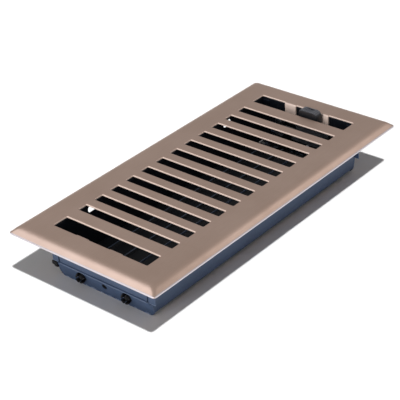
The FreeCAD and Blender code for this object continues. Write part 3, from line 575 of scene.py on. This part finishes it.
def bush_skin(node, material, end, side, spread):
    """A split bush with its collar, barrel and four hooked prongs, in the place of the CAD bush."""
    form = Form()

    def section(profile, angle):
        return [Vector((end * along * MM, side * HINGE_Y + radius * MM * math.cos(angle),
                        HINGE_Z + radius * MM * math.sin(angle))) for along, radius in profile]

    form.sleeve([section(BUSH_BARREL, angle) for angle in turn(0, 345, 23)], closed=True)
    for middle in PRONG_MIDDLES:
        form.solid([section(BUSH_PRONG, angle) for angle in turn(middle - spread, middle + spread, 5)])
    skin = form.piece(node + "_skin", material)
    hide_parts(node)
    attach(skin, "box")


def grip_skin(node, material, end):
    """A soft two-lobed grip on its stem through the side wall, in the place of the CAD grip."""
    form = Form()
    form.solid([[Vector((end * along, *(GRIP_MIDDLE + (Vector(point) - GRIP_MIDDLE) * scale))) * MM
                 for point in GRIP_SECTION] for along, scale in GRIP_ALONG])
    form.solid([[Vector((end * STEM_X + STEM_RADIUS * math.cos(angle), y,
                         STEM_Z + STEM_RADIUS * math.sin(angle))) * MM
                 for angle in turn(0, 330, 11)] for y in STEM_ENDS])
    skin = form.piece(node + "_skin", material)
    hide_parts(node)
    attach(skin, "box")


class RegisterSizes(bpy.types.PropertyGroup):
    """Sizes of the faceplate's and the bushes' fine forms."""
    plan_corner: bpy.props.FloatProperty(
        name="Plate corner", description="Radius of the faceplate's corners seen from above",
        subtype="DISTANCE", unit="LENGTH", default=2.5 * MM, min=0.5 * MM, max=8.0 * MM)
    crown: bpy.props.FloatProperty(
        name="Border crown", description="Radius between the faceplate's bevel and its flat field",
        subtype="DISTANCE", unit="LENGTH", default=9.0 * MM, min=3.0 * MM, max=12.0 * MM)
    slot_roll: bpy.props.FloatProperty(
        name="Slot edge", description="Radius of the slots' rolled edges",
        subtype="DISTANCE", unit="LENGTH", default=0.8 * MM, min=0.2 * MM, max=1.1 * MM)
    prong_spread: bpy.props.FloatProperty(
        name="Prong spread", description="Half the angle that a bush's prong takes round its axis",
        subtype="ANGLE", unit="ROTATION", default=math.radians(25), min=math.radians(10),
        max=math.radians(40))


class RegisterFinishes(bpy.types.PropertyGroup):
    """Colours and gloss of the register's finishes."""
    plate_colour: bpy.props.FloatVectorProperty(
        name="Plate colour", description="Satin nickel where it is cleanest",
        subtype="COLOR", default=(0.55, 0.40, 0.33), min=0.0, max=1.0)
    plate_shade: bpy.props.FloatVectorProperty(
        name="Plate shade", description="Satin nickel where it is dullest",
        subtype="COLOR", default=(0.46, 0.325, 0.26), min=0.0, max=1.0)
    plate_roughness: bpy.props.FloatProperty(
        name="Plate roughness", description="Roughness of the satin nickel",
        subtype="FACTOR", default=0.40, min=0.0, max=1.0)
    # Painted shade: the side walls take a darker share of this paint and of its shade
    paint_colour: bpy.props.FloatVectorProperty(
        name="Paint colour", description="Slate paint of the end walls; the side walls' is darker",
        subtype="COLOR", default=(0.078, 0.124, 0.225), min=0.0, max=1.0)
    paint_shade: bpy.props.FloatVectorProperty(
        name="Paint shade", description="Slate paint where it lies thick; the side walls' is darker",
        subtype="COLOR", default=(0.054, 0.088, 0.168), min=0.0, max=1.0)
    blade_colour: bpy.props.FloatVectorProperty(
        name="Blade colour", description="Darker paint of the blades",
        subtype="COLOR", default=(0.012, 0.015, 0.022), min=0.0, max=1.0)
    blade_shade: bpy.props.FloatVectorProperty(
        name="Blade shade", description="Paint of the blades where it lies thick",
        subtype="COLOR", default=(0.006, 0.007, 0.010), min=0.0, max=1.0)
    paint_roughness: bpy.props.FloatProperty(
        name="Paint roughness", description="Roughness of the slate paint",
        subtype="FACTOR", default=0.48, min=0.0, max=1.0)
    nylon_colour: bpy.props.FloatVectorProperty(
        name="Nylon colour", description="Black nylon of bushes, caps, cranks and grips",
        subtype="COLOR", default=(0.004, 0.004, 0.005), min=0.0, max=1.0)
    knob_colour: bpy.props.FloatVectorProperty(
        name="Knob colour", description="Grey nylon of the knob's sides",
        subtype="COLOR", default=(0.040, 0.042, 0.050), min=0.0, max=1.0)
    # Painted highlight of the knob's upward faces
    knob_top_highlight: bpy.props.FloatVectorProperty(
        name="Knob top", description="Paler grey of the knob's ribbed top",
        subtype="COLOR", default=(0.36, 0.365, 0.42), min=0.0, max=1.0)


class RegisterStudio(bpy.types.PropertyGroup):
    """Camera, lamps and floor."""
    lens: bpy.props.FloatProperty(
        name="Lens", description="Focal length on a 36 mm frame, in millimetres",
        subtype="DISTANCE_CAMERA", default=117.66, min=20.0, max=300.0)
    camera_place: bpy.props.FloatVectorProperty(
        name="Camera place", description="Where the camera stands",
        subtype="TRANSLATION", unit="LENGTH", default=(-0.64979, -0.57642, 0.54387))
    camera_turn: bpy.props.FloatVectorProperty(
        name="Camera turn", description="How the camera is turned",
        subtype="QUATERNION", size=4, default=(0.783004, 0.456404, -0.182509, -0.381171))
    key_power: bpy.props.FloatProperty(
        name="Key lamp", description="Power of the lamp behind the plate", subtype="POWER",
        default=4.9, min=0.0)
    side_power: bpy.props.FloatProperty(
        name="Side lamp", description="Power of the lamp beyond the right side", subtype="POWER",
        default=1.9, min=0.0)
    front_power: bpy.props.FloatProperty(
        name="Front lamp", description="Power of the lamp on the camera's side", subtype="POWER",
        default=4.0, min=0.0)
    plate_power: bpy.props.FloatProperty(
        name="Plate lamp", description="Power of the lamp that lights the faceplate alone", subtype="POWER",
        default=16.0, min=0.0)
    floor_sun: bpy.props.FloatProperty(
        name="Floor light", description="Strength of the distant light that draws the shadow",
        default=3.4, min=0.0, max=10.0)
    room_gloss: bpy.props.FloatProperty(
        name="Room seen in gloss", description="Strength of the even light in reflections",
        default=0.54, min=0.0, max=2.0)
    room_fill: bpy.props.FloatProperty(
        name="Room fill", description="Strength of the even light on matt surfaces",
        default=0.18, min=0.0, max=2.0)
    floor_colour: bpy.props.FloatVectorProperty(
        name="Floor colour", description="Pale floor", subtype="COLOR", default=(0.93, 0.93, 0.93),
        min=0.0, max=1.0)


class REGISTER_OT_faceplate(bpy.types.Operator):
    """Make and finish the stamped faceplate"""
    bl_idname = "register.faceplate"
    bl_label = "Faceplate"

    def execute(self, context):
        look = context.scene.register_finishes
        nickel = satin_nickel(tuple(look.plate_colour), tuple(look.plate_shade), look.plate_roughness)
        give(nickel, "faceplate")
        faceplate_skin(nickel, context.scene.register_sizes)
        return {"FINISHED"}


class REGISTER_OT_damper_box(bpy.types.Operator):
    """Finish the painted walls and blades"""
    bl_idname = "register.damper_box"
    bl_label = "Damper box"

    def execute(self, context):
        look = context.scene.register_finishes
        rough = look.paint_roughness
        # Painted shade: the side walls get the end walls' paint, darkened
        shaded_side_walls = slate_paint("slate_paint", dimmed(look.paint_colour, SHADED_SIDE_COLOUR_SHARE),
                            dimmed(look.paint_shade, SHADED_SIDE_SHADE_SHARE), rough)
        give(shaded_side_walls, *both("side_wall_%s"))
        ends = slate_paint("slate_paint_ends", tuple(look.paint_colour), tuple(look.paint_shade), rough,
                           ridge_highlight=end_wall_bend_highlight, hole=spare_hole_shade)
        give(ends, "end_wall_near", "end_wall_far")
        blades = slate_paint("slate_paint_blades", tuple(look.blade_colour), tuple(look.blade_shade), rough,
                             ridge_highlight=blade_bead_highlight)
        give(blades, *both("blade_%s"))
        return {"FINISHED"}


class REGISTER_OT_plastics(bpy.types.Operator):
    """Make the bushes and the grips, and finish them, the caps, the cranks and the knob"""
    bl_idname = "register.plastics"
    bl_label = "Moulded pieces"

    def execute(self, context):
        look = context.scene.register_finishes
        spread = math.degrees(context.scene.register_sizes.prong_spread)
        black = moulded_plastic("black_nylon", tuple(look.nylon_colour), worn=(0.010, 0.010, 0.012),
                                roughness=0.45, sparkle=0.06, gloss=0.2)
        give(black, "duct_grip_near", "duct_grip_far", *both("blade_cap_%s", "crank_%s"))
        for end, place in ((-1, "near"), (1, "far")):
            grip_skin("duct_grip_" + place, black, end)
            for side, hand in ((1, "left"), (-1, "right")):
                node = "pivot_bush_%s_%s" % (place, hand)
                give(black, node)
                bush_skin(node, black, end, side, spread)
        grey = moulded_plastic("grey_nylon", tuple(look.knob_colour), worn=(0.066, 0.069, 0.080),
                               roughness=0.38, sparkle=0.12, gloss=0.3, top=tuple(look.knob_top_highlight))
        give(grey, "knob")
        return {"FINISHED"}


class REGISTER_OT_steel_pieces(bpy.types.Operator):
    """Finish the pins, studs, washers, rivets and the slide"""
    bl_idname = "register.steel_pieces"
    bl_label = "Steel pieces"

    def execute(self, context):
        turned = plain_steel("turned_steel", (0.30, 0.30, 0.31), (0.17, 0.17, 0.18), 0.46, TURNED)
        give(turned, *both("pivot_pin_near_%s", "pivot_pin_far_%s", "slide_stud_%s"))
        spring = plain_steel("spring_steel", (0.22, 0.23, 0.25), (0.12, 0.125, 0.14), 0.45)
        give(spring, *both("slide_spring_%s", "stud_cap_%s"))
        zinc = plain_steel("zinc_steel", (0.34, 0.35, 0.38), (0.20, 0.21, 0.24), 0.50)
        give(zinc, "control_slide")
        # Painted shade: the rivets inside the box take a darker copy of the zinc plating
        rivet_shade = plain_steel("shaded_zinc", (0.10, 0.105, 0.12), (0.05, 0.052, 0.06), 0.62)
        give(rivet_shade, *both("blade_rivets_%s"))
        return {"FINISHED"}


def hang(name, light, direction, distance):
    """Put a light in a direction from the middle of the register, looking back at it."""
    item = bpy.data.objects.new(name, light)
    away = Vector(direction).normalized()
    item.location = away * distance
    item.rotation_mode = "QUATERNION"
    item.rotation_quaternion = away.to_track_quat("Z", "Y")
    bpy.context.scene.collection.objects.link(item)
    return item


def lamp(name, power, direction, distance, size, colour=(1.0, 1.0, 1.0), matt=False):
    """Square soft box that shows in gloss, and lights matt surfaces too where told."""
    light = bpy.data.lights.new(name, "AREA")
    light.shape = "SQUARE"
    light.size = size
    light.energy = power
    light.color = colour
    item = hang(name, light, direction, distance)
    item.visible_diffuse = matt
    return item


def only_on(item, lit):
    """Let a light fall on one object alone."""
    group = bpy.data.collections.new(item.name + "_lights")
    group.objects.link(lit)
    item.light_linking.receiver_collection = group


def floor_light(floor, strength):
    """Distant light that falls on the floor alone and draws the register's shadow there."""
    light = bpy.data.lights.new("floor_light", "SUN")
    light.energy = strength
    light.angle = math.radians(FLOOR_LIGHT_SPREAD)
    only_on(hang("floor_light", light, FLOOR_LIGHT_FROM, 2.0), floor)


def studio_floor(colour):
    """Plain square floor under the register's foot."""
    form = bmesh.new()
    bmesh.ops.create_grid(form, x_segments=1, y_segments=1, size=FLOOR_HALF)
    mesh = bpy.data.meshes.new("studio_floor")
    form.to_mesh(mesh)
    form.free()
    mesh.materials.append(floor_finish(colour))
    floor = bpy.data.objects.new("studio_floor", mesh)
    bpy.context.scene.collection.objects.link(floor)
    return floor


def room(gloss, fill):
    """World that is white behind the register, dimmer in reflections and dimmest as even light."""
    world = bpy.data.worlds.new("room")
    shading = Shading(world)
    mirrored = shading.add("ShaderNodeMix", inputs={
        "Factor": shading.add("ShaderNodeLightPath", output="Is Glossy Ray"), "A": fill, "B": gloss})
    seen = shading.add("ShaderNodeMix", inputs={
        "Factor": shading.add("ShaderNodeLightPath", output="Is Camera Ray"), "A": mirrored, "B": 1.0})
    light = shading.add("ShaderNodeBackground", inputs={"Color": (1.0, 1.0, 1.0, 1.0), "Strength": seen})
    shading.add("ShaderNodeOutputWorld", inputs={"Surface": light})
    bpy.context.scene.world = world


def camera(look):
    """Camera at the photograph's viewing angle."""
    item = bpy.data.objects.new("camera", bpy.data.cameras.new("camera"))
    item.data.lens = look.lens
    item.data.sensor_width = 36.0
    item.data.clip_start = 0.01
    item.location = look.camera_place
    item.rotation_mode = "QUATERNION"
    item.rotation_quaternion = Quaternion(look.camera_turn)
    bpy.context.scene.collection.objects.link(item)
    bpy.context.scene.camera = item


class REGISTER_OT_studio(bpy.types.Operator):
    """Set the floor, the lamps, the room light and the camera"""
    bl_idname = "register.studio"
    bl_label = "Studio"

    def execute(self, context):
        look = context.scene.register_studio
        floor = studio_floor(tuple(look.floor_colour))
        lamp("key_lamp", look.key_power, (-0.45, 0.56, 0.70), distance=1.5, size=0.9,
             colour=(0.84, 0.91, 1.0))
        lamp("side_lamp", look.side_power, (0.648, -0.448, 0.61), distance=1.6, size=0.7)
        lamp("front_lamp", look.front_power, (-0.85, -0.1, 0.45), distance=1.7, size=1.0, matt=True)
        plate_lamp = lamp("plate_lamp", look.plate_power, (-0.85, -0.1, 0.5), distance=1.7, size=1.0,
                          matt=True)
        only_on(plate_lamp, bpy.data.objects["faceplate_skin"])
        floor_light(floor, look.floor_sun)
        room(look.room_gloss, look.room_fill)
        camera(look)
        context.scene.view_settings.view_transform = "Standard"
        return {"FINISHED"}


class REGISTER_PT_panel(bpy.types.Panel):
    """Buttons for each group of pieces and for the studio, and what each can change"""
    bl_label = "Floor Register"
    bl_idname = "REGISTER_PT_panel"
    bl_space_type = "VIEW_3D"
    bl_region_type = "UI"
    bl_category = "Register"

    def draw(self, context):
        for operator in OPERATORS:
            self.layout.operator(operator.bl_idname)
        for name in GROUPS:
            group = getattr(context.scene, name)
            box = self.layout.box()
            for field in group.__annotations__:
                box.prop(group, field)


GROUPS = {"register_sizes": RegisterSizes, "register_finishes": RegisterFinishes,
          "register_studio": RegisterStudio}
OPERATORS = (REGISTER_OT_faceplate, REGISTER_OT_damper_box, REGISTER_OT_plastics, REGISTER_OT_steel_pieces,
             REGISTER_OT_studio)
CLASSES = (*GROUPS.values(), *OPERATORS, REGISTER_PT_panel)


def register():
    for item in CLASSES:
        bpy.utils.register_class(item)
    for name, group in GROUPS.items():
        setattr(bpy.types.Scene, name, bpy.props.PointerProperty(type=group))


def unregister():
    for name in GROUPS:
        delattr(bpy.types.Scene, name)
    for item in reversed(CLASSES):
        bpy.utils.unregister_class(item)


def main():
    """Run every step in order."""
    register()
    for operator in OPERATORS:
        group, name = operator.bl_idname.split(".")
        getattr(getattr(bpy.ops, group), name)()


if __name__ == "__main__":
    main()
